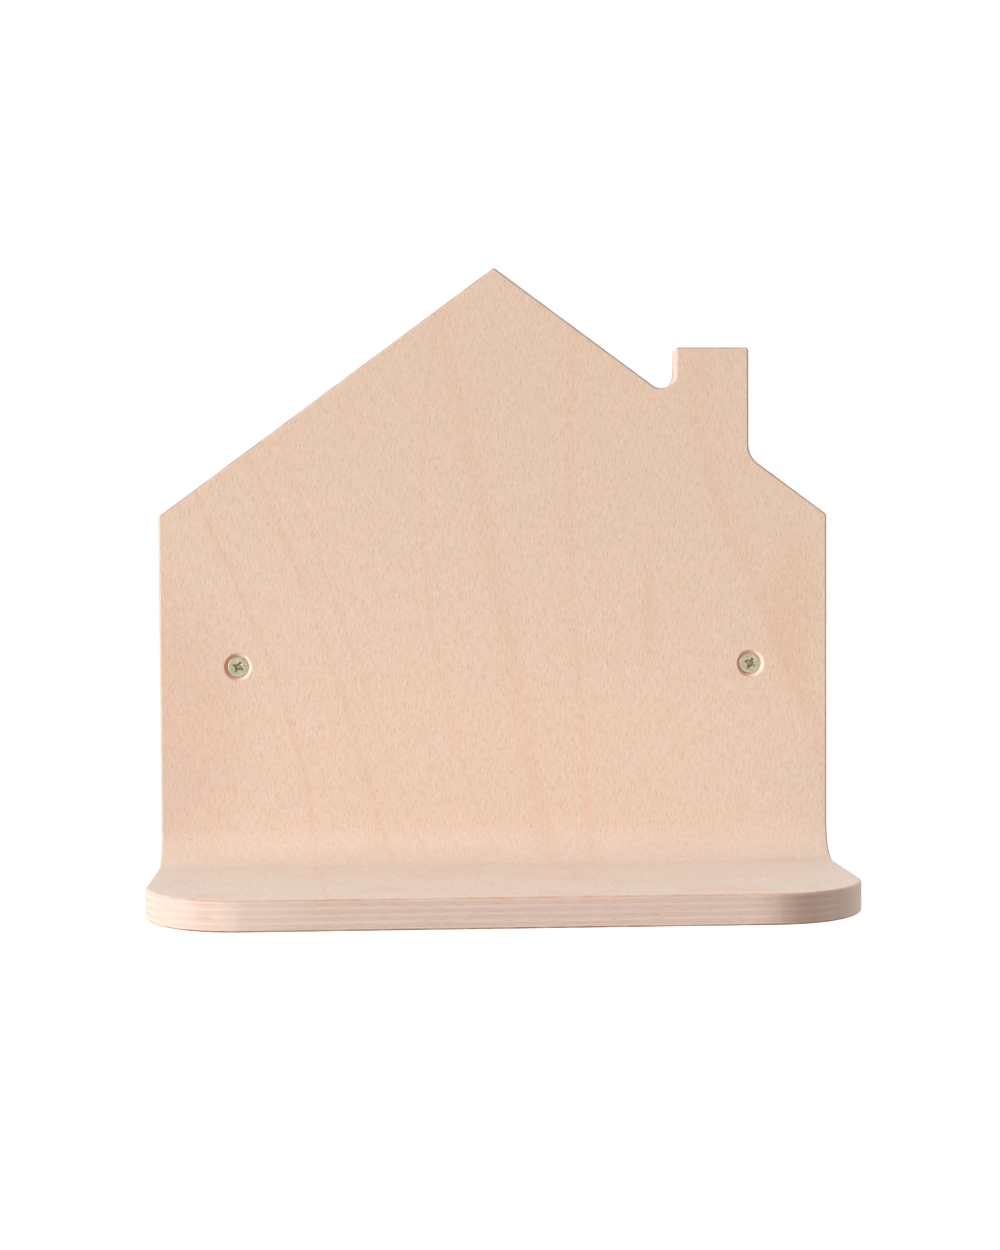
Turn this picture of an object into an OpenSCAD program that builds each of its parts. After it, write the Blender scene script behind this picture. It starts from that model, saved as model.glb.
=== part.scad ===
// Wall shelf in the shape of a house with a chimney, for a child's room.
// One plywood board is pressed from nine veneers with a single bend, so the back and the shelf
// are one piece of wood. It is cut out as a house, its rim is rounded over on both faces, and two
// countersunk screws fix it to the wall.
// X runs to the right, Y into the wall and Z up, in millimetres.
// The origin is on the wall, midway between the two screws.

/* [Board] */
// Width of the board
board_w = 250; // [160:1:400]
// Thickness of one veneer
veneer_t = 1.2; // [0.8:0.05:2]
// Inside radius of the bend between the back and the shelf
bend_r = 12; // [6:0.5:30]
// Radius of the rounded rim on both faces
edge_r = 1; // [0.4:0.1:1.1]

/* [House outline] */
// Height of the eaves above the shelf
eave_h = 129; // [90:0.5:250]
// Slope of both halves of the roof, in degrees
roof_slope = 36.4; // [20:0.1:48]
// Radius of the outline at the eaves
eave_r = 2; // [1.2:0.1:8]
// Radius of the outline at the ridge
ridge_r = 1.2; // [1.2:0.1:8]

/* [Chimney] */
// Width of the chimney
chimney_w = 27.5; // [15:0.5:45]
// Distance from the chimney to the right edge of the board
chimney_inset = 29.5; // [12:0.5:60]
// Height of the chimney above the roof on its uphill side
chimney_rise = 20.5; // [14:0.5:60]
// Radius of the two top corners
chimney_r = 1.2; // [1.2:0.1:6]
// Radius of the pocket between the roof and the uphill side
pocket_r = 5.5; // [2:0.1:8]
// Radius of the fillet at the foot of the downhill side
foot_r = 9; // [2:0.5:20]

/* [Shelf] */
// Depth from the wall to the front edge
shelf_d = 100; // [70:1:200]
// Radius of the two front corners
front_r = 35; // [5:0.5:60]

/* [Screws] */
// Height of the screws above the shelf
screw_h = 73; // [35:0.5:110]
// Distance from each screw to the nearer side of the board
screw_inset = 29; // [15:0.5:60]
// Length over all
screw_l = 40; // [30:1:60]
// Outside diameter of the thread
thread_d = 4; // [3.2:0.1:5]
// Length of the thread with the tip
thread_l = 24; // [10:0.5:28]
// Diameter of the plain shank between the head and the thread
shank_d = 2.9; // [2:0.1:3]
// Length of the pointed tip
tip_l = 5; // [3:0.5:8]
// Diameter of the blunt end of the tip
tip_d = 0.3; // [0.1:0.1:1]
// Diameter of the head
head_d = 8; // [7:0.1:10]
// Height of the short straight rim of the head
head_rim = 0.25; // [0.1:0.05:0.6]
// Depth of the head below the front face of the board
head_sink = 0.85; // [0:0.05:1.5]
// Gap between the head and its countersink
head_gap = 0.1; // [0.05:0.01:0.2]
// Gap around the thread in its hole
hole_gap = 0.25; // [0.1:0.05:0.5]

/* [Cross recess] */
// Span of the cross at the top of the head
cross_span = 4.4; // [3:0.1:5]
// Span of the cross at its foot
foot_span = 1.6; // [1.2:0.1:2.6]
// Width of each blade of the cross
blade_w = 1; // [0.6:0.1:1.4]
// Depth of the cross
cross_depth = 2.1; // [1.2:0.1:2.4]
// Diameter of the round core between the blades, at the top of the head
core_d = 2.6; // [1.6:0.1:3]
// Diameter of the core at the foot of the cross
core_foot_d = 1.4; // [1:0.1:1.5]
// Depth of the pit below the foot of the cross
pit_depth = 0.4; // [0.2:0.1:0.6]
// Diameter of the pit's flat floor
pit_d = 0.5; // [0.3:0.1:0.9]
// Turn of the cross from level, in degrees
cross_turn = 63; // [0:1:89]

/* [Hidden] */
VENEERS = [
    "front_face_veneer",
    "front_cross_veneer",
    "front_long_veneer",
    "front_inner_cross_veneer",
    "core_veneer",
    "rear_inner_cross_veneer",
    "rear_long_veneer",
    "rear_cross_veneer",
    "rear_face_veneer",
];
$fn = 96;

// Beech along the grain, beech across the grain and zinc-plated steel
LONG_WOOD = [0.91, 0.79, 0.71];
CROSS_WOOD = [0.8, 0.67, 0.58];
ZINC = [0.72, 0.71, 0.64];

plies = len(VENEERS);
board_t = plies * veneer_t;
half_w = board_w / 2;

// A rounding cutter leaves both faces at a slight angle, so it never only grazes them: its arc
// stands this far proud of the wood, and it reaches on into the open.
proud = 0.03;
reach = 0.6;
// The arcs of an outline swing this much wide, so that they cross the straight edges at a slight
// angle instead of only touching them. The rounding cutters swing a little wider still.
swing = 0.01;
rim_swing = 0.02;
margin = 5;
// Cutters for the recess start this far above the head
above = 1;

// The roof and the chimney, measured up from the shelf
ridge_h = eave_h + half_w * tan(roof_slope);
function roof_h(x) = ridge_h - abs(x) * tan(roof_slope);
chimney_right = half_w - chimney_inset;
chimney_left = chimney_right - chimney_w;
chimney_top = roof_h(chimney_left) + chimney_rise;
tall = max(ridge_h, chimney_top) + margin;

// The bend turns about this line, given as y and z
bend_y = -board_t - bend_r;
bend_z = bend_r;

// Corners as across, up and radius, anticlockwise for someone who looks at the face
HOUSE = [
    [half_w, bend_z, 0],
    [half_w, eave_h, eave_r],
    [chimney_right, roof_h(chimney_right), foot_r],
    [chimney_right, chimney_top, chimney_r],
    [chimney_left, chimney_top, chimney_r],
    [chimney_left, roof_h(chimney_left), pocket_r],
    [0, ridge_h, ridge_r],
    [-half_w, eave_h, eave_r],
    [-half_w, bend_z, 0],
];
SHELF = [
    [-half_w, bend_y, 0],
    [-half_w, -shelf_d, front_r],
    [half_w, -shelf_d, front_r],
    [half_w, bend_y, 0],
];

// Screws
screw_x = half_w - screw_inset;
thread_r = thread_d / 2;
shank_r = shank_d / 2;
head_r = head_d / 2;
hole_r = thread_r + hole_gap;
sink_r = head_r + head_gap + head_rim + head_sink;
head_top = board_t - head_sink;

// Each corner of an outline turns from the way in to the way out by an arc that touches both
function point(c, i) = [c[i][0], c[i][1]];
function way(c, i) = (point(c, i + 1) - point(c, i)) / norm(point(c, i + 1) - point(c, i));
function turn(c, i) = atan2(cross(way(c, i - 1), way(c, i)), way(c, i - 1) * way(c, i));
function inner(c, i) = i > 0 && i < len(c) - 1;
function setback(c, i) = inner(c, i) ? c[i][2] * tan(abs(turn(c, i)) / 2) : 0;
function arc_start(c, i) = setback(c, i) > 0 ? point(c, i) - way(c, i - 1) * setback(c, i) : point(c, i);
function arc_end(c, i) = setback(c, i) > 0 ? point(c, i) + way(c, i) * setback(c, i) : point(c, i);
function left_of(v) = [-v[1], v[0]];
function arc_centre(c, i) = arc_start(c, i) + left_of(way(c, i - 1)) * c[i][2] * sign(turn(c, i));
function bearing(v) = atan2(v[1], v[0]);

// The bit between a sharp corner and its arc
module corner_bit(c, i) {
    difference() {
        polygon([point(c, i), arc_start(c, i), arc_end(c, i)]);
        translate(arc_centre(c, i)) circle(r = c[i][2] + swing);
    }
}

// An outline with its corners rounded, closed by the points of a straight tail
module rounded_outline(c, tail) {
    difference() {
        polygon(concat([for (i = [0 : len(c) - 1]) point(c, i)], tail));
        for (i = [1 : len(c) - 2]) if (turn(c, i) > 0) corner_bit(c, i);
    }
    for (i = [1 : len(c) - 2]) if (turn(c, i) < 0) corner_bit(c, i);
}

module house_outline() {
    foot = -board_t - margin;
    rounded_outline(HOUSE, [[-half_w, foot], [half_w, foot]]);
}

module shelf_outline() {
    rounded_outline(SHELF, [[half_w, margin], [-half_w, margin]]);
}

// Section of a bent layer, as y and z, between two depths below the front face
module bent_section(near, far) {
    thick = far - near;
    translate([near - board_t, bend_z]) square([thick, tall]);
    translate([-shelf_d - margin, -far]) square([shelf_d + margin + bend_y, thick]);
    translate([bend_y, bend_z]) intersection() {
        difference() {
            circle(r = bend_r + far);
            circle(r = bend_r + near);
        }
        translate([0, -bend_r - far]) square(bend_r + far);
    }
}

// Wood that a rounding takes off an edge, seen along the edge
module edge_waste(side) {
    low = proud - edge_r;
    difference() {
        polygon([[side * low, low], [side * reach, low], [side * reach, reach], [side * low, reach]]);
        translate([side * low, low]) circle(r = edge_r);
    }
}

// Where the wide arc at a corner crosses the straight edge, as a distance from where they meet
function crossing(c, i) = sqrt(2 * c[i][2] * rim_swing);
function overrun(c, i) = inner(c, i) && turn(c, i) > 0 ? 2 * crossing(c, i) : 0;

// The same wood, taken off along a whole outline on a face that looks along +Z
module outline_waste(c) {
    for (i = [0 : len(c) - 2]) {
        start = arc_end(c, i) - way(c, i) * overrun(c, i);
        end = arc_start(c, i + 1) + way(c, i) * overrun(c, i + 1);
        translate([start[0], start[1], 0])
            rotate([90, 0, 90 + bearing(way(c, i))])
                linear_extrude(norm(end - start)) edge_waste(-1);
    }
    for (i = [1 : len(c) - 2]) {
        bend = turn(c, i);
        centre = arc_centre(c, i);
        first = bearing(arc_start(c, i) - centre);
        extra = bend < 0 ? 2 * crossing(c, i) / c[i][2] * 180 / PI : 0;
        translate([centre[0], centre[1], 0])
            rotate([0, 0, first + min(bend, 0) - extra])
                rotate_extrude(angle = abs(bend) + 2 * extra)
                    translate([c[i][2] + rim_swing, 0]) edge_waste(sign(bend));
    }
}

// Round the bend, along both side edges
module bend_waste(radius, side) {
    for (m = [0, 1]) mirror([m, 0, 0])
        translate([0, bend_y, bend_z])
            rotate([90, 0, 90]) rotate([0, 0, -90])
                rotate_extrude(angle = 90) translate([radius, half_w]) edge_waste(side);
}

module front_rim_waste() {
    translate([0, -board_t, 0]) rotate([90, 0, 0]) outline_waste(HOUSE);
    bend_waste(bend_r, -1);
    outline_waste(SHELF);
}

module rear_rim_waste() {
    mirror([0, 1, 0]) rotate([90, 0, 0]) outline_waste(HOUSE);
    bend_waste(bend_r + board_t, 1);
    translate([0, 0, -board_t]) mirror([0, 0, 1]) outline_waste(SHELF);
}

// Frame of a screw: its origin is on the wall and its axis points out into the room
module at_screw(side) {
    translate([side * screw_x, 0, screw_h]) rotate([90, 0, 0]) children();
}

module screw_hole() {
    sink = sink_r - hole_r;
    translate([0, 0, -margin]) cylinder(h = board_t + 2 * margin, r = hole_r);
    translate([0, 0, board_t - sink]) cylinder(h = sink + margin, r1 = hole_r, r2 = sink_r + margin);
}

// Everything above is drawn up from the shelf, and is hung with its screws at the origin's height
module hung() {
    translate([0, 0, -screw_h]) children();
}

// One veneer, counted from the front face, with its share of the rounded rims and screw holes
module veneer(i) {
    near = i * veneer_t;
    far = near + veneer_t;
    color(i % 2 == 0 ? LONG_WOOD : CROSS_WOOD) hung() difference() {
        intersection() {
            rotate([90, 0, 90]) linear_extrude(board_w + margin, center = true) bent_section(near, far);
            translate([0, margin, 0]) rotate([90, 0, 0]) linear_extrude(shelf_d + 2 * margin) house_outline();
            translate([0, 0, -board_t - margin]) linear_extrude(board_t + margin + tall) shelf_outline();
        }
        if (near < edge_r) front_rim_waste();
        if (board_t - far < edge_r) rear_rim_waste();
        for (side = [-1, 1]) at_screw(side) screw_hole();
    }
}

// The recess is measured down from the top of the head
module cross_blade() {
    top = cross_span / 2;
    foot = foot_span / 2;
    rotate([90, 0, 0]) linear_extrude(blade_w, center = true) polygon([
        [-foot, -cross_depth],
        [foot, -cross_depth],
        [top, 0],
        [top, above],
        [-top, above],
        [-top, 0],
    ]);
}

module cross_core() {
    rotate_extrude() polygon([
        [0, -cross_depth - pit_depth],
        [pit_d / 2, -cross_depth - pit_depth],
        [core_foot_d / 2, -cross_depth],
        [core_d / 2, 0],
        [core_d / 2, above],
        [0, above],
    ]);
}

module cross_recess() {
    for (a = [0, 90]) rotate([0, 0, cross_turn + a]) cross_blade();
    cross_core();
}

module screw(side) {
    neck = head_top - head_rim - (head_r - shank_r);
    tip = head_top - screw_l;
    thread_top = tip + thread_l;
    color(ZINC) hung() at_screw(side) difference() {
        rotate_extrude() polygon([
            [0, tip],
            [tip_d / 2, tip],
            [thread_r, tip + tip_l],
            [thread_r, thread_top],
            [shank_r, thread_top + thread_r - shank_r],
            [shank_r, neck],
            [head_r, head_top - head_rim],
            [head_r, head_top],
            [0, head_top],
        ]);
        translate([0, 0, head_top]) cross_recess();
    }
}

veneer(0);  // front_face_veneer
veneer(1);  // front_cross_veneer
veneer(2);  // front_long_veneer
veneer(3);  // front_inner_cross_veneer
veneer(4);  // core_veneer
veneer(5);  // rear_inner_cross_veneer
veneer(6);  // rear_long_veneer
veneer(7);  // rear_cross_veneer
veneer(8);  // rear_face_veneer
screw(-1);  // left_screw
screw(1);  // right_screw
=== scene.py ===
import math

import bmesh
import bpy
from mathutils import Matrix, Vector


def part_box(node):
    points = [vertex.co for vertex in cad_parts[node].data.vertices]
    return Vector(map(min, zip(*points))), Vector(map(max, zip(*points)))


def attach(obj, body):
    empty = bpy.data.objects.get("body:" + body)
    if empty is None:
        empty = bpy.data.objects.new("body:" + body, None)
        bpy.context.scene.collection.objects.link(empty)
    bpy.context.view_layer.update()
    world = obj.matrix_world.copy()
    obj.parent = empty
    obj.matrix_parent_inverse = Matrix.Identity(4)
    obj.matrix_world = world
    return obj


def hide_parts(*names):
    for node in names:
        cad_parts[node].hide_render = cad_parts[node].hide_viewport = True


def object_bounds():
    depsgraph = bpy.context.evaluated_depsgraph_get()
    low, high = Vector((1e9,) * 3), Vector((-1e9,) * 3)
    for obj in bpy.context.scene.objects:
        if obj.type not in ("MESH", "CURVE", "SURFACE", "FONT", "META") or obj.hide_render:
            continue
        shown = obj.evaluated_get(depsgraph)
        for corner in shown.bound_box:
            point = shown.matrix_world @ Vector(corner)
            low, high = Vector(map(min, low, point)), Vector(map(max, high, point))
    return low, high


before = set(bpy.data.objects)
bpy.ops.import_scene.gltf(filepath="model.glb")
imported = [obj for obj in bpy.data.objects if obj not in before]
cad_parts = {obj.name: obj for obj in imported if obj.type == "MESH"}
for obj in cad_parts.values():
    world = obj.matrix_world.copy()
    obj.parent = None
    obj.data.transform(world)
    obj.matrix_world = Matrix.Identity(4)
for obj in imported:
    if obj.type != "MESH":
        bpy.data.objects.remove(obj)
cad_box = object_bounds()

# Camera
# It stands in front of the shelf, a little left of its middle and a little above the screws, and
# looks slightly right and down. Its lens and its place were fitted to the photograph.
FRAME_WIDTH_PX = 1000
FRAME_HEIGHT_PX = 1250
FOCAL_LENGTH_PX = 2152.28
LENS_AXIS_PX = (488.99, 621.47)
SENSOR_MM = 36
CAMERA_PLACE = (-0.04466, -0.81383, 0.04042)
CAMERA_RIGHT, CAMERA_DOWN, CAMERA_ROLL = 3.008, 1.714, 0.300
NEAREST_SEEN = 0.01

camera = bpy.data.objects.new("camera", bpy.data.cameras.new("camera"))
bpy.context.scene.collection.objects.link(camera)
bpy.context.scene.camera = camera
camera.data.sensor_width = SENSOR_MM
camera.data.lens = SENSOR_MM * FOCAL_LENGTH_PX / FRAME_HEIGHT_PX
camera.data.shift_x = (FRAME_WIDTH_PX / 2 - LENS_AXIS_PX[0]) / FRAME_HEIGHT_PX
camera.data.shift_y = (LENS_AXIS_PX[1] - FRAME_HEIGHT_PX / 2) / FRAME_HEIGHT_PX
camera.data.clip_start = NEAREST_SEEN
camera.matrix_world = (
    Matrix.Translation(CAMERA_PLACE)
    @ Matrix.Rotation(-math.radians(CAMERA_RIGHT), 4, "Z")
    @ Matrix.Rotation(math.radians(90 - CAMERA_DOWN), 4, "X")
    @ Matrix.Rotation(-math.radians(CAMERA_ROLL), 4, "Z")
)


# Board
# Nine beech veneers, glued and pressed over a former with one bend, with the grain of every
# second one turned. The CAD solids stay; each gets wood whose grain follows the bend.
MM = 0.001
VENEERS = [
    "front_face_veneer",
    "front_cross_veneer",
    "front_long_veneer",
    "front_inner_cross_veneer",
    "core_veneer",
    "rear_inner_cross_veneer",
    "rear_long_veneer",
    "rear_cross_veneer",
    "rear_face_veneer",
]
REAR_FACE = len(VENEERS) - 1
BEND_R = 12
front_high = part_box(VENEERS[0])[1]
rear_low, rear_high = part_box(VENEERS[-1])
veneer_t = (rear_high.y - front_high.y) / REAR_FACE / MM
board_t = veneer_t * len(VENEERS)
bend_y = rear_high.y / MM - board_t - BEND_R
bend_z = rear_low.z / MM + board_t + BEND_R
bend_mid_r = BEND_R + board_t / 2
screw_low, screw_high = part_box("right_screw")
screw_x = (screw_low.x + screw_high.x) / 2 / MM
screw_z = (screw_low.z + screw_high.z) / 2 / MM


def paint(red, green, blue):
    """A colour as a screen shows it, 0 to 255, as the linear colour that a socket takes."""
    shares = [c / 255 for c in (red, green, blue)]
    linear = [c / 12.92 if c <= 0.04045 else ((c + 0.055) / 1.055) ** 2.4 for c in shares]
    return (*linear, 1)


class Shade:
    """A socket in a material's node tree. Sums on it add Math nodes."""

    def __init__(self, tree, socket=None):
        self.tree = tree
        self.socket = socket

    def node(self, kind, settings, inputs, output=0):
        """Adds a node, sets it up, feeds its sockets and gives one of its outputs."""
        made = self.tree.nodes.new("ShaderNode" + kind)
        for name, value in settings.items():
            setattr(made, name, value)
        for name, value in inputs.items():
            if isinstance(value, Shade):
                self.tree.links.new(value.socket, made.inputs[name])
            else:
                made.inputs[name].default_value = value
        return Shade(self.tree, made.outputs[output] if made.outputs else None)

    def math(self, operation, *values):
        return self.node("Math", {"operation": operation}, dict(enumerate(values)))

    def __add__(self, other):
        return self.math("ADD", self, other)

    def __sub__(self, other):
        return self.math("SUBTRACT", self, other)

    def __rsub__(self, other):
        return self.math("SUBTRACT", other, self)

    def __mul__(self, other):
        return self.math("MULTIPLY", self, other)

    def __neg__(self):
        return self.math("MULTIPLY", self, -1)

    __radd__ = __add__
    __rmul__ = __mul__

    def least(self, other):
        return self.math("MINIMUM", self, other)

    def most(self, other):
        return self.math("MAXIMUM", self, other)

    def rise(self, low, high):
        """0 below low, 1 above high and a smooth climb between them."""
        settings = {"interpolation_type": "SMOOTHSTEP"}
        return self.node("MapRange", settings, {"Value": self, "From Min": low, "From Max": high})

    def band(self, low, full, end, past):
        """A smooth climb from low to full and a smooth fall from end to past."""
        return self.rise(low, full) * (1 - self.rise(end, past))

    def mix(self, first, second):
        """The first colour where this is 0, the second where it is 1."""
        settings = {"data_type": "RGBA"}
        return self.node("Mix", settings, {"Factor": self, 6: first, 7: second}, output=2)

    def coordinates(self, kind):
        """The three values of one kind of texture coordinate."""
        place = self.node("TexCoord", {}, {}, output=kind)
        return [self.node("SeparateXYZ", {}, {0: place}, output=i) for i in range(3)]

    def scaled(self, place, sizes):
        parts = [part * (1 / size) for part, size in zip(place, sizes)]
        return self.node("CombineXYZ", {}, dict(enumerate(parts)))

    def noise(self, place, sizes, detail=2, roughness=0.5):
        """Noise from 0 to 1 whose grains measure sizes, in mm, along the values of place."""
        inputs = {"Vector": self.scaled(place, sizes), "Scale": 1}
        inputs.update({"Detail": detail, "Roughness": roughness})
        return self.node("TexNoise", {}, inputs)

    def spindles(self, place, sizes, core, edge):
        """Scattered slim spots, one to each cell of sizes in mm.

        They are full up to core and gone at edge, as shares of the cell.
        """
        inputs = {"Vector": self.scaled(place, sizes), "Scale": 1}
        away = self.node("TexVoronoi", {"voronoi_dimensions": "2D"}, inputs)
        return 1 - away.rise(core, edge)


def start_material(name):
    material = bpy.data.materials.new(name)
    material.use_nodes = True
    material.node_tree.nodes.clear()
    return material, Shade(material.node_tree)


def finish_material(start, inputs):
    surface = start.node("BsdfPrincipled", {}, inputs)
    start.node("OutputMaterial", {}, {"Surface": surface})


# How much further on each veneer starts in the grain, so that no two look alike
VENEER_SHIFT = 137.0


class Spot:
    """A point of a veneer, unrolled over the bend, in mm, and the way its surface looks there.

    along is 0 at the top of the bend, grows up the back and falls towards the front edge.
    """

    def __init__(self, start, number):
        self.start = start
        self.number = number
        self.x, y, self.z = [part * (1 / MM) for part in start.coordinates("Object")]
        inward = y - bend_y
        upward = self.z - bend_z
        in_bend_y = inward.most(0)
        in_bend_z = (-upward).most(0)
        turn = start.math("ARCTAN2", in_bend_z, in_bend_y)
        from_axis = start.math("SQRT", in_bend_y * in_bend_y + in_bend_z * in_bend_z)
        self.along = upward.most(0) + inward.least(0) - turn * bend_mid_r
        self.depth = from_axis - BEND_R

        self.facing_x, facing_y, facing_z = start.coordinates("Normal")
        sine = start.math("SINE", turn)
        cosine = start.math("COSINE", turn)
        self.facing_along = facing_y * sine + facing_z * cosine
        facing_depth = facing_y * cosine - facing_z * sine
        self.flat = facing_depth * facing_depth

        self.across_grain = number % 2 == 1
        both_ways = (self.along, self.x)
        self.lengthwise, self.crosswise = both_ways[::-1] if self.across_grain else both_ways
        self.shifted = self.lengthwise + VENEER_SHIFT * number

    def leaning(self, lean):
        """The place along the grain, shifted by lean for each mm across it."""
        return self.shifted + self.crosswise * lean if lean else self.shifted

    def grain(self, sizes, detail=2, roughness=0.5, lean=0, offset=0):
        """Noise with grains of sizes in mm: across the fibres, along them and into the wood."""
        lengthwise = self.leaning(lean) + offset if offset else self.leaning(lean)
        place = (self.crosswise, lengthwise, self.depth)
        return self.start.noise(place, sizes, detail, roughness)

    def rays(self, sizes, core, edge, lean, offset):
        """The short slim rays that mark beech, in cells of sizes in mm across and along."""
        place = (self.crosswise + offset, self.leaning(lean))
        return self.start.spindles(place, sizes, core, edge)


# Tones of the face and the stretches, along the board, in which one passes into the next.
# They carry painted light: the back grows lighter from its top downwards and less orange near
# the bend, and the shelf top is palest.
FACE_SHELF = paint(244, 230, 220)
FACE_LOW = paint(235, 218, 206)
FACE_MID = paint(244.5, 221, 205)
FACE_TOP = paint(240, 215, 197)
SHELF_TO_LOW = (-28, -8)
LOW_TO_MID = (5, 45)
MID_TO_TOP = (0, 206)
# Dark tone of flecks, rays, grain and edge marks, also used for painted shade in the hollow of the
# bend
FLECK_AND_SHADE = paint(176, 104, 52)
PALE = paint(247, 223, 204)
# Rosy and straw patches: tone, offset along the grain and strength
TINTS = [(paint(246, 201, 185), 0, 0.53), (paint(232, 211, 170), 61.0, 0.53)]
TINT_SIZE = (2, 5, 2)
TINT_RANGE = (0.3, 0.7)
# Slow sideways sway of the growth lines and streaks in the stains
SWAY_SIZE = (3, 9, 4)
# Dark grain: size in mm across, along and into the wood, lean, level that stays pale, strength
DARK_GRAIN = {
    "fibre": ((0.42, 14, 0.6), 2.1, 0.3, 0.1),
    "streak": ((0.38, 4.0, 0.6), -1.3, 0.3, 0.1),
    "dash": ((0.38, 1.0, 0.6), 0.8, 0.3, 0.145),
    "speck": ((0.33, 0.45, 0.6), 0, 0.4, 0.35),
}
# Rays: cell in mm across and along, core and edge as shares of it, lean, offset; strength
LONG_RAYS, LONG_RAY_SHARE = ((0.75, 7.0), 0.0525, 0.2275, 0.8, 0), 0.25
SHORT_RAYS, SHORT_RAY_SHARE = ((0.58, 3.8), 0.057, 0.247, -1.3, 31.0), 0.155
# Growth lines: place across at the bend, slope and two curves up the back, how far each fades to
# the left and right, and strength
GROWTH = paint(232, 170, 138)
GROWTH_LINES = [
    (-69.0, -0.075, -0.00344, 0.0000107, 1.8, 2.4, 0.18),
    (-43.4, -0.239, -0.00075, 0.0, 2.6, 2.4, 0.145),
    (-31.0, -0.338, 0.0, 0.0, 1.6, 1.8, 0.1),
    (-4.5, -0.370, 0.00150, 0.0, 1.4, 1.4, 0.12),
    (18.2, -0.170, -0.00015, 0.0, 8.0, 4.5, 0.125),
    (34.9, -0.060, -0.00020, 0.0000022, 4.5, 2.2, 0.11),
    (124.5, 0.030, -0.00600, 0.000024, 3.0, 12.0, 0.11),
]
LINE_SHIFT = 9  # mm across, from each veneer to the next
LINE_WAVER = 3
LINE_EVEN, LINE_STREAKY = 0.1, 0.8
FADING_SIZE = (12, 26, 9)
# Soft stains: place across and along, half width and half length, tone and strength
STAINS = [
    (-126, 36, 44, 70, paint(214, 150, 126), 0.15),
    (112, 80, 13, 38, paint(232, 166, 100), 0.13),
    (57.5, 80, 4, 22, paint(226, 160, 104), 0.12),
]
STAIN_EVEN, STAIN_STREAKY = 0.3, 0.7
# Clouds on the shelf, the calmer grain there and a darker band of painted shade in the hollow of
# the bend
CLOUD_SIZE = (34, 20, 9)
CLOUD_RANGE = (0.5, 0.75)
ONTO_SHELF = (-24, 4)
CLOUD_PALE, CLOUD_DARK = 0.38, 0.1
SHELF_CALM = 0.4
HOLLOW_SHADE = (-26, -17, -15, -5)
HOLLOW_SHADE_SHARE = 0.045


def growth_strength(spot, sway):
    """How strongly the growth lines colour the face."""
    up_back = spot.lengthwise.most(0)
    growth = 0
    for place, slope, curve, third, left, right, strength in GROWTH_LINES:
        bow = up_back * up_back * (up_back * third + curve)
        line = bow + spot.lengthwise * slope + (place + LINE_SHIFT * spot.number)
        past = spot.crosswise - line + sway * LINE_WAVER - LINE_WAVER / 2
        growth = (past.band(-left, 0, 0, right) * strength).most(growth)
    return growth


def face_tone(spot, grains):
    """The face of a veneer: tones with painted light and shade, tints, stains, clouds, growth
    lines, rays and dark grain.
    """
    lengthwise, fibre = spot.lengthwise, grains["fibre"]
    sway = spot.grain(SWAY_SIZE, roughness=0.6)
    # Painted light: lighter down the back, less orange near the bend and palest on the shelf top
    tone = lengthwise.rise(*LOW_TO_MID).mix(FACE_LOW, FACE_MID)
    tone = lengthwise.rise(*MID_TO_TOP).mix(tone, FACE_TOP)
    tone = lengthwise.rise(*SHELF_TO_LOW).mix(FACE_SHELF, tone)
    for tint, offset, strength in TINTS:
        patches = spot.grain(TINT_SIZE, roughness=1.0, offset=offset)
        tone = (patches.rise(*TINT_RANGE) * strength).mix(tone, tint)
    for place, height, half_w, half_l, stain_tone, strength in STAINS:
        off = (spot.crosswise - place) * (1 / half_w)
        away = (lengthwise - height) * (1 / half_l)
        streaky = STAIN_EVEN + fibre * STAIN_STREAKY + sway * STAIN_STREAKY
        stain = (1 - off * off - away * away).rise(0, 1) * streaky * strength
        tone = stain.mix(tone, stain_tone)

    place = (spot.crosswise, lengthwise, spot.depth)
    cloud = spot.start.noise(place, CLOUD_SIZE, roughness=0.6)
    on_shelf = 1 - lengthwise.rise(*ONTO_SHELF)
    tone = (cloud.rise(*CLOUD_RANGE) * on_shelf * CLOUD_PALE).mix(tone, PALE)
    tone = ((1 - cloud).rise(*CLOUD_RANGE) * on_shelf * CLOUD_DARK).mix(tone, FLECK_AND_SHADE)
    # Painted shade: a darker band in the hollow of the bend
    tone = (lengthwise.band(*HOLLOW_SHADE) * HOLLOW_SHADE_SHARE).mix(tone, FLECK_AND_SHADE)

    calm = 1 - on_shelf * SHELF_CALM
    fading = LINE_EVEN + fibre * LINE_STREAKY + spot.grain(FADING_SIZE, detail=1)
    tone = (growth_strength(spot, sway) * calm * fading).mix(tone, GROWTH)
    rays = spot.rays(*LONG_RAYS) * LONG_RAY_SHARE + spot.rays(*SHORT_RAYS) * SHORT_RAY_SHARE
    tone = (rays * calm).mix(tone, FLECK_AND_SHADE)
    for kind, (size, lean, pale_to, strength) in DARK_GRAIN.items():
        tone = ((grains[kind] - pale_to) * calm * strength).mix(tone, FLECK_AND_SHADE)
    return tone


# Sawn edge: light where the fibres end, darker where they run along it
EDGE_END = paint(229, 203, 185)
EDGE_SIDE = paint(222, 193, 179)
DARK_DASH = paint(150, 112, 102)
GLUE = paint(196, 148, 118)
END_RANGE = (0.2, 0.8)
# Marks on it: size in mm, range of the noise that they take up and strength
LAYERS, LAYER_RANGE, LAYER_SHARE = (40, 60, 0.35), (0.45, 0.8), 0.15
DASHES, DASH_RANGE, DASH_SHARE = (5, 5, 0.4), (0.52, 0.75), 0.3
PORES, PORE_RANGE, PORE_SHARE = (0.5, 0.5, 0.35), (0.5, 0.8), 0.08
# Depth of the line of glue, and how much of it shows
GLUE_LINE, GLUE_SHARE = (0.02, 0.1), 0.2
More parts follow.
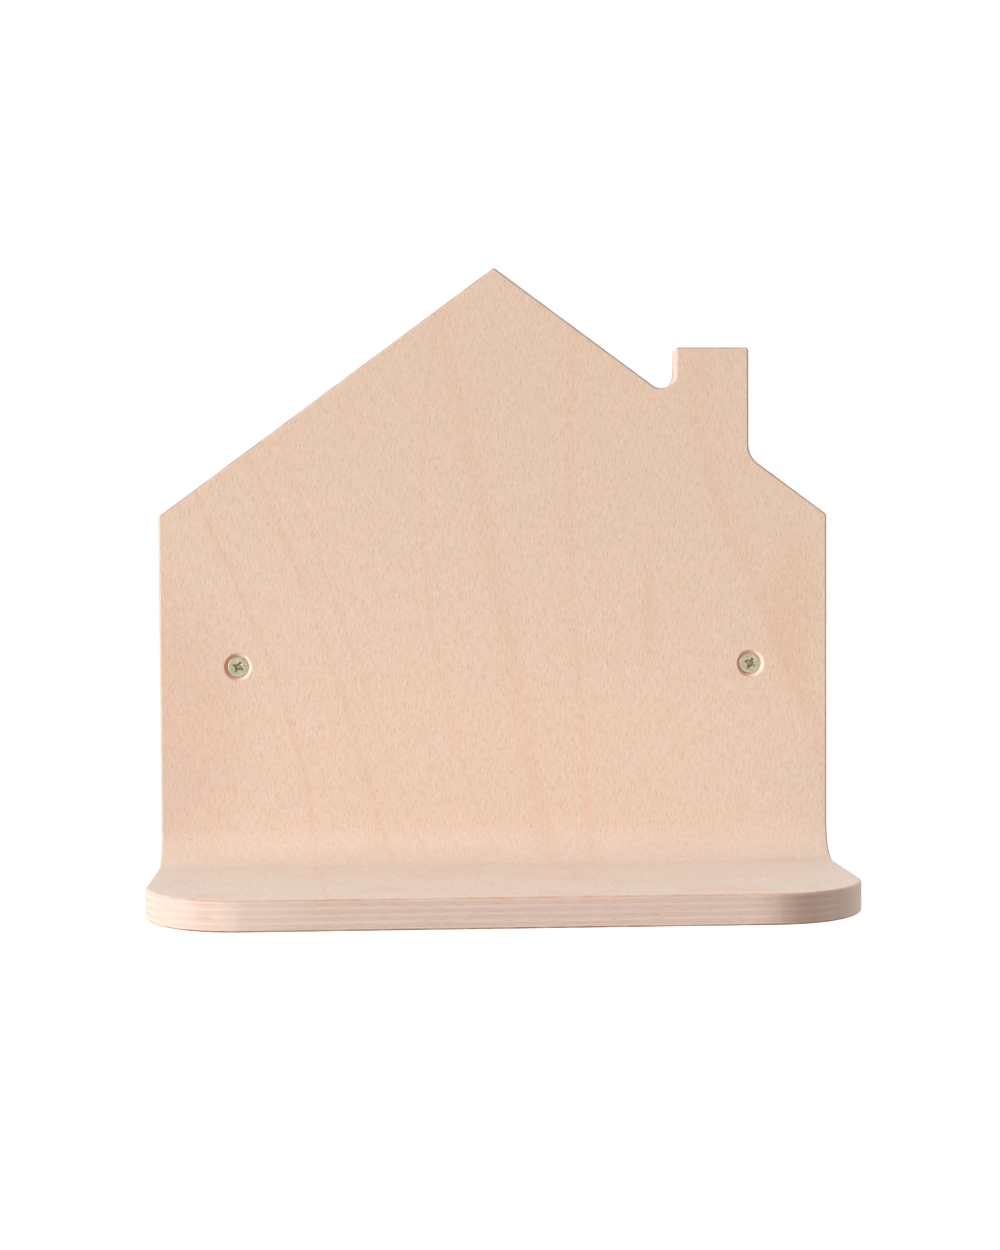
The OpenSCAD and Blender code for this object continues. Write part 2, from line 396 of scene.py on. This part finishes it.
# Painted shade and light on the front edge, places in mm across: a dark patch of painted shade
# before the right corner, and two pale patches of painted light, near the left corner and at the
# right corner
ONTO_FRONT = (-60, -30)
CORNER_SHADE = paint(140, 98, 78)
CORNER_SHADE_PLACE, CORNER_SHADE_SHARE = (80, 96, 98, 111), 0.43
LEFT_LIT_PLACE, RIGHT_LIT_PLACE = (-104, -94, -92, -55), (110, 122)
RIGHT_LIT_GAIN, EDGE_LIT_SHARE = 2.5, 0.4


def edge_tone(spot):
    """The sawn edge of a veneer: fibre ends, dashes, pores, painted light and shade at the front,
    and glue.
    """
    looking = spot.facing_x if spot.across_grain else spot.facing_along
    tone = (looking * looking).rise(*END_RANGE).mix(EDGE_SIDE, EDGE_END)
    layers = spot.grain(LAYERS)
    tone = (layers.rise(*LAYER_RANGE) * LAYER_SHARE).mix(tone, FLECK_AND_SHADE)
    dashes = spot.grain(DASHES, roughness=0.6)
    tone = (dashes.rise(*DASH_RANGE) * DASH_SHARE).mix(tone, DARK_DASH)
    pores = spot.start.noise((spot.x, spot.along, spot.depth), PORES, roughness=0.6)
    tone = (pores.rise(*PORE_RANGE) * PORE_SHARE).mix(tone, FLECK_AND_SHADE)

    # Painted shade before the right corner of the front edge, painted light near the left corner
    # and at the right one
    front = 1 - spot.along.rise(*ONTO_FRONT)
    tone = (spot.x.band(*CORNER_SHADE_PLACE) * front * CORNER_SHADE_SHARE).mix(tone, CORNER_SHADE)
    painted_light = spot.x.band(*LEFT_LIT_PLACE) + spot.x.rise(*RIGHT_LIT_PLACE) * RIGHT_LIT_GAIN
    tone = (painted_light * front * EDGE_LIT_SHARE).mix(tone, PALE)

    near = spot.number * veneer_t
    seam = (spot.depth - near).least(near + veneer_t - spot.depth)
    return ((1 - seam.rise(*GLUE_LINE)) * GLUE_SHARE).mix(tone, GLUE)


# Rounded rim, darker and a little worn, and the countersinks, which are brown on their shaded side
# and cream on the lit one
FRONT_RIM = paint(216, 164, 130)
OUTLINE_RIM = paint(186, 144, 126)
REAR_RIM = paint(158, 106, 86)
SINK_SHADE = paint(238, 168, 134)
SINK_LIT = paint(241, 213, 190)
RIM_FACING = (0.03, 0.25, 0.7, 0.98)
RIM_FRONT_TO_OUTLINE = (-30, 0)
WEAR, WEAR_RANGE, WEAR_LEAST = (9, 9, 9), (0.3, 0.7), 0.45
# Least share of the rim's tone, on sides that look along x, and the turn to its full share
RIM_LEAST, RIM_TURN = 0.15, (-0.25, 0.15)
# Countersink: squares of the distance from the screw's axis, and its turn from light to shade
SINK_R_SQUARED = (30, 40)
SINK_TURN = (-0.4, 0.4)


def rimmed(spot, tone):
    """The tone with the rim's and the countersinks' tones over it."""
    off_x = spot.start.math("ABSOLUTE", spot.x) - screw_x
    off_z = spot.z - screw_z
    sink = 1 - (off_x * off_x + off_z * off_z).rise(*SINK_R_SQUARED)
    turned_up = spot.facing_along * spot.facing_along - spot.facing_x * spot.facing_x
    share = RIM_LEAST + (1 - RIM_LEAST) * turned_up.rise(*RIM_TURN)
    rim = spot.flat.band(*RIM_FACING) * share.most(sink)

    rim_tone = REAR_RIM
    if spot.number < REAR_FACE:
        rim_tone = spot.along.rise(*RIM_FRONT_TO_OUTLINE).mix(FRONT_RIM, OUTLINE_RIM)
    sink_tone = spot.facing_x.rise(*SINK_TURN).mix(SINK_LIT, SINK_SHADE)
    rim_tone = sink.mix(rim_tone, sink_tone)
    place = (spot.x, spot.along, spot.depth)
    worn = spot.start.noise(place, WEAR, roughness=0.7).rise(*WEAR_RANGE)
    return (rim * (WEAR_LEAST + worn * (1 - WEAR_LEAST))).mix(tone, rim_tone)


# Where the edge passes into the face, the relief of fibres and dashes, and the roughness
EDGE_TO_FACE = (0.25, 0.9)
FIBRE_RELIEF, DASH_RELIEF = 0.5, (0.5, 0.8)
WOOD_ROUGH, FIBRE_ROUGH = 0.5, 0.12


def veneer_wood(name, number):
    """Sanded, matt beech for one veneer, counted from the front face."""
    material, start = start_material(name)
    spot = Spot(start, number)
    grains = {
        kind: spot.grain(size, detail=0, lean=lean)
        for kind, (size, lean, pale_to, strength) in DARK_GRAIN.items()
    }
    tone = spot.flat.rise(*EDGE_TO_FACE).mix(edge_tone(spot), face_tone(spot, grains))
    height = grains["fibre"] * FIBRE_RELIEF - grains["dash"].rise(*DASH_RELIEF)
    bump = start.node("Bump", {}, {"Strength": 0.25, "Distance": 0.05 * MM, "Height": height})
    finish_material(start, {
        "Base Color": rimmed(spot, tone),
        "Roughness": WOOD_ROUGH + grains["fibre"] * FIBRE_ROUGH,
        "Normal": bump,
        "IOR": 1.45,
        "Specular IOR Level": 0.25,
        "Sheen Weight": 0.05,
        "Sheen Roughness": 0.5,
    })
    return material


for number, name in enumerate(VENEERS):
    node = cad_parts[name]
    node.data.materials.clear()
    node.data.materials.append(veneer_wood(name.replace("veneer", "beech"), number))


# Screws
# Two zinc-plated steel wood screws with flat countersunk heads, and a cross recess with marks
# between its arms. They are cold formed, their thread is rolled on, and they hold the board.
SCREWS = ["left_screw", "right_screw"]
# Head, in mm: its rim rounds over RIM_ROUND to a flat top and is HEAD_RIM high
HEAD_R = 4.0
HEAD_RIM = 0.25
RIM_ROUND = 0.8
RIM_STEPS = 4
# Shank, in mm: the cone meets it in a small neck, and it narrows to the thread's core
NECK = 0.15
SHANK_R = 1.45
SHANK_START = 0.2
SHANK_RUN_OUT = 0.3
# Thread and tip, in mm; the thread ends END_PITCHES pitches before its full length
THREAD_R = 2.0
CORE_R = 1.3
CORE_LEAST = 0.05
THREAD_L = 24.0
THREAD_START = 0.2
PITCH = 1.8
END_PITCHES = 1.2
TIP_L = 5.0
TIP_R = 0.15
# One turn of the thread: share of the pitch, share of the height
THREAD_FORM = [(0.0, 0.0), (0.32, 0.0), (0.47, 1.0), (0.53, 1.0), (0.68, 0.0)]
PER_TURN = len(THREAD_FORM)
STEPS = 48
screw_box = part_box(SCREWS[0])
head_y = screw_box[0].y / MM
tip_y = screw_box[1].y / MM
thread_y = tip_y - THREAD_L


def ring(mesh, radius, y):
    angles = [2 * math.pi * i / STEPS for i in range(STEPS)]
    return [mesh.verts.new((radius * math.cos(a), y, radius * math.sin(a))) for a in angles]


def backwards(points):
    """The same ring the other way round, from the same first point."""
    return [points[-i % STEPS] for i in range(STEPS)]


def bridge(mesh, lower, upper):
    for i in range(len(lower)):
        j = (i + 1) % len(lower)
        mesh.faces.new((lower[i], lower[j], upper[j], upper[i]))


def finish_mesh(mesh, name):
    bmesh.ops.recalc_face_normals(mesh, faces=mesh.faces)
    data = bpy.data.meshes.new(name)
    mesh.to_mesh(data)
    mesh.free()
    return data


def head_and_shank(mesh):
    """Adds the domed head, the countersunk cone and the shank, and gives the last ring."""
    tilt = 2 * math.atan2(HEAD_RIM, RIM_ROUND)
    dome_r = RIM_ROUND / math.sin(tilt)
    outline = []
    for k in range(RIM_STEPS + 1):
        a = tilt * k / RIM_STEPS
        radius = HEAD_R - RIM_ROUND + dome_r * math.sin(a)
        outline.append((radius, head_y + dome_r * (1 - math.cos(a))))
    cone_y = head_y + HEAD_RIM + HEAD_R - SHANK_R
    outline.append((SHANK_R + NECK, cone_y - NECK))
    outline.append((SHANK_R, cone_y + SHANK_START))
    outline.append((SHANK_R, thread_y - SHANK_RUN_OUT))
    outline.append((CORE_R, thread_y))
    rings = [ring(mesh, radius, y) for radius, y in outline]
    mesh.faces.new(rings[0])
    for lower, upper in zip(rings, rings[1:]):
        bridge(mesh, lower, upper)
    return rings[-1]


def thread_columns(mesh):
    """One column of points for each step round the screw, each a little further along."""
    turns = int((THREAD_L - END_PITCHES * PITCH) / PITCH)
    columns = []
    for i in range(STEPS):
        a = -2 * math.pi * i / STEPS
        column = []
        for j in range(turns * PER_TURN + 1):
            share, height = THREAD_FORM[j % PER_TURN]
            y = thread_y + THREAD_START + PITCH * (i / STEPS + j // PER_TURN + share)
            crest = THREAD_R + (TIP_R - THREAD_R) * max(0, (y - tip_y + TIP_L) / TIP_L)
            core = min(CORE_R, crest * CORE_R / THREAD_R + CORE_LEAST)
            fade = min(1, (y - thread_y - THREAD_START) / PITCH)
            radius = core + (crest - core) * height * max(0, fade)
            column.append(mesh.verts.new((radius * math.cos(a), y, radius * math.sin(a))))
        columns.append(column)
    return columns


def build_screw_mesh(name):
    """The screw without its recess, as one closed mesh, in mm and with its axis on y."""
    mesh = bmesh.new()
    shank_end = backwards(head_and_shank(mesh))
    columns = thread_columns(mesh)
    tip = backwards(ring(mesh, TIP_R, tip_y))
    mesh.faces.new(list(reversed(tip)))
    for i in range(STEPS - 1):
        here, beside = columns[i], columns[i + 1]
        mesh.faces.new((shank_end[i], shank_end[i + 1], beside[0], here[0]))
        for j in range(len(here) - 1):
            mesh.faces.new((here[j], beside[j], beside[j + 1], here[j + 1]))
        mesh.faces.new((here[-1], beside[-1], tip[i + 1], tip[i]))

    # The last column meets the first one a turn further on, which leaves a step at each end
    first, last = columns[0], columns[-1]
    for j in range(len(first) - 1 - PER_TURN):
        mesh.faces.new((last[j], first[j + PER_TURN], first[j + PER_TURN + 1], last[j + 1]))
    mesh.faces.new([shank_end[-1], shank_end[0]] + first[:PER_TURN + 1] + [last[0]])
    mesh.faces.new(last[-1 - PER_TURN:] + [tip[-1], tip[0], first[-1]])
    return finish_mesh(mesh, name)


# Cross recess, in mm and degrees: arms that taper to their foot, a round core, a bevel along each
# arm and the marks between the arms
SPAN = 4.4
BLADE = 1.0
DEPTH = 2.1
FOOT = 1.6
FOOT_BLADE = 0.85  # of the blade's width
CROSS_TURN = 63
CORE_TOP_R = 1.3
CORE_FOOT_R = 0.45
CORE_BELOW = 0.4
CORE_STEPS = 24
BEVEL_W, BEVEL_DEEP = 0.3, 0.17
MARK_FROM, MARK_TO = 1.5, 2.9
MARK_W, MARK_DEEP = 0.5, 0.16
MARK_FOOT_W, MARK_END = 0.04, 0.1
CUT_ABOVE = 0.2


def rectangle(left, right, width):
    return [(left, -width / 2), (right, -width / 2), (right, width / 2), (left, width / 2)]


def circle(radius):
    angles = [2 * math.pi * i / CORE_STEPS for i in range(CORE_STEPS)]
    return [(radius * math.cos(a), radius * math.sin(a)) for a in angles]


def turned(outline, degrees):
    c, s = math.cos(math.radians(degrees)), math.sin(math.radians(degrees))
    return [(x * c - z * s, x * s + z * c) for x, z in outline]


def recess_cuts():
    """Outline at the top, outline at the foot and depth of each cut into the head."""
    blade = rectangle(-SPAN / 2, SPAN / 2, BLADE)
    blade_foot = rectangle(-FOOT / 2, FOOT / 2, BLADE * FOOT_BLADE)
    bevel = rectangle(-SPAN / 2 - BEVEL_W, SPAN / 2 + BEVEL_W, BLADE + 2 * BEVEL_W)
    cuts = []
    for degrees in (CROSS_TURN, CROSS_TURN + 90):
        cuts.append((turned(blade, degrees), turned(blade_foot, degrees), DEPTH))
        cuts.append((turned(bevel, degrees), turned(blade, degrees), BEVEL_DEEP))
    cuts.append((circle(CORE_TOP_R), circle(CORE_FOOT_R), DEPTH + CORE_BELOW))
    mark = rectangle(MARK_FROM, MARK_TO, MARK_W)
    mark_foot = rectangle(MARK_FROM, MARK_TO - MARK_END, MARK_FOOT_W)
    for k in range(4):
        degrees = CROSS_TURN + 45 + 90 * k
        cuts.append((turned(mark, degrees), turned(mark_foot, degrees), MARK_DEEP))
    return cuts


def cutter_mesh(top, foot, depth):
    """A closed prism from above the head, with one outline at its top and one at the foot."""
    mesh = bmesh.new()
    layers = []
    for outline, y in ((top, head_y - CUT_ABOVE), (top, head_y), (foot, head_y + depth)):
        layers.append([mesh.verts.new((x, y, z)) for x, z in outline])
    for lower, upper in zip(layers, layers[1:]):
        bridge(mesh, lower, upper)
    mesh.faces.new(list(reversed(layers[0])))
    mesh.faces.new(layers[-1])
    return finish_mesh(mesh, "cutter")


def cut(piece, top, foot, depth):
    cutter = bpy.data.objects.new("cutter", cutter_mesh(top, foot, depth))
    bpy.context.scene.collection.objects.link(cutter)
    modifier = piece.modifiers.new("recess", "BOOLEAN")
    modifier.operation = "DIFFERENCE"
    modifier.solver = "EXACT"
    modifier.object = cutter
    bpy.context.view_layer.update()
    seen = piece.evaluated_get(bpy.context.evaluated_depsgraph_get())
    result = bpy.data.meshes.new_from_object(seen)
    piece.modifiers.clear()
    piece.data = result
    bpy.data.objects.remove(cutter)


# Zinc, passivated to a dull yellow: its cloudy tones, and a yellower, less metallic tone down in
# the recess, which shows darker
ZINC_LIGHT = paint(189, 181, 159)
ZINC_DARK = paint(174, 165, 138)
ZINC_RECESS = paint(203, 190, 151)
ZINC_CLOUD_SIZE = (1.6, 1.6, 1.6)
ZINC_FINE_SIZE = (0.15, 0.15, 0.15)
ZINC_CLOUD_RANGE = (0.35, 0.7)
ZINC_ROUGH, CLOUD_ROUGH = 0.16, 0.15
RECESS_BAND = (0.2, 1.2, 2.6, 3)
RECESS_DULL = 0.6
SHARP_OVER = 35


def zinc():
    material, start = start_material("zinc_plating")
    place = [part * (1 / MM) for part in start.coordinates("Object")]
    cloud = start.noise(place, ZINC_CLOUD_SIZE, detail=3, roughness=0.6)
    fine = start.noise(place, ZINC_FINE_SIZE, roughness=0.6)
    deep = (place[1] - head_y).band(*RECESS_BAND)
    tone = cloud.rise(*ZINC_CLOUD_RANGE).mix(ZINC_LIGHT, ZINC_DARK)
    bump = start.node("Bump", {}, {"Strength": 0.15, "Distance": 0.03 * MM, "Height": fine})
    finish_material(start, {
        "Base Color": deep.mix(tone, ZINC_RECESS),
        "Metallic": 1 - deep * RECESS_DULL,
        "Roughness": ZINC_ROUGH + cloud * CLOUD_ROUGH,
        "Normal": bump,
    })
    return material


plating = zinc()
pattern = bpy.data.objects.new("screw_pattern", build_screw_mesh("screw"))
bpy.context.scene.collection.objects.link(pattern)
for top, foot, depth in recess_cuts():
    cut(pattern, top, foot, depth)
pattern.data.transform(Matrix.Scale(MM, 4))
for name in SCREWS:
    low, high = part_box(name)
    data = pattern.data.copy()
    data.transform(Matrix.Translation(((low.x + high.x) / 2, 0, (low.z + high.z) / 2)))
    data.shade_smooth()
    data.set_sharp_from_angle(angle=math.radians(SHARP_OVER))
    data.materials.clear()
    data.materials.append(plating)
    piece = bpy.data.objects.new(name + "_threaded", data)
    bpy.context.scene.collection.objects.link(piece)
    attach(piece, "root")
    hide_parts(name)
bpy.data.objects.remove(pattern)


# Floor and light
# The shelf hangs on a wall, so the pale floor lies well below it. A broad lamp from the left
# models the edges, weak ones stand beside it and overhead, and even light fills the rest.
FLOOR_DROP = 0.55
FLOOR_SIZE = 40
FLOOR_GREY = (0.5, 0.5, 0.5, 1)
FLOOR_GLOW = 0.85
ROOM_LIGHT = 0.585
SEEN_LIGHT = 1.04
SEEN_TONE = (1, 1, 1, 1)
LEFT_TONE = (1.08, 1.14, 1.19, 1)
RIGHT_TONE = (0.92, 0.86, 0.81, 1)
LEFT_TO_RIGHT = (-0.8, 0.8)
# Each lamp: the way to it, its distance, width and height in metres, its light on what faces it
# and its tint
LAMPS = {
    "left_lamp": ((-0.91, -0.41, 0.08), 8.0, 3.2, 3.2, 1.03, (1, 1, 1)),
    "window_lamp": ((-0.70, -0.65, 0.25), 3.0, 0.5, 1.5, 0.08, (1, 1, 1)),
    "top_lamp": ((-0.05, 0.1, 1.0), 2.0, 1.4, 1.4, 0.25, (0.68, 1, 1.345)),
}

bpy.context.scene.view_settings.view_transform = "Standard"


def seen_directly(start):
    """1 for rays that the camera, a gloss or a clear surface sends, 0 for rays that light."""
    kinds = ("Is Camera Ray", "Is Glossy Ray", "Is Transmission Ray")
    parts = [start.node("LightPath", {}, {}, output=kind) for kind in kinds]
    return parts[0].most(parts[1]).most(parts[2])


room = bpy.data.worlds.new("studio")
bpy.context.scene.world = room
room.use_nodes = True
room.node_tree.nodes.clear()
start = Shade(room.node_tree)
seen = seen_directly(start)
rightward = start.coordinates("Generated")[0].rise(*LEFT_TO_RIGHT)
tone = seen.mix(rightward.mix(LEFT_TONE, RIGHT_TONE), SEEN_TONE)
level = ROOM_LIGHT + seen * (SEEN_LIGHT - ROOM_LIGHT)
background = start.node("Background", {}, {"Color": tone, "Strength": level})
start.node("OutputWorld", {}, {"Surface": background})

material, start = start_material("pale_floor")
diffuse = start.node("BsdfDiffuse", {}, {"Color": FLOOR_GREY})
glow = start.node("Emission", {}, {"Strength": seen_directly(start) * FLOOR_GLOW})
surface = start.node("AddShader", {}, {0: diffuse, 1: glow})
start.node("OutputMaterial", {}, {"Surface": surface})
half = FLOOR_SIZE / 2
corners = [(-half, -half, 0), (half, -half, 0), (half, half, 0), (-half, half, 0)]
data = bpy.data.meshes.new("floor")
data.from_pydata(corners, [], [(0, 1, 2, 3)])
data.materials.append(material)
floor = bpy.data.objects.new("floor", data)
floor.location.z = rear_low.z - FLOOR_DROP
bpy.context.scene.collection.objects.link(floor)

middle = (cad_box[0] + cad_box[1]) / 2
for name, (way, distance, width, height, light, tint) in LAMPS.items():
    lamp = bpy.data.objects.new(name, bpy.data.lights.new(name, "AREA"))
    lamp.data.shape = "RECTANGLE"
    lamp.data.size = width
    lamp.data.size_y = height
    lamp.data.color = tint
    lamp.data.energy = light * (math.pi * distance) ** 2
    direction = Vector(way).normalized()
    lamp.location = middle + direction * distance
    lamp.rotation_euler = direction.to_track_quat("Z", "Y").to_euler()
    bpy.context.scene.collection.objects.link(lamp)
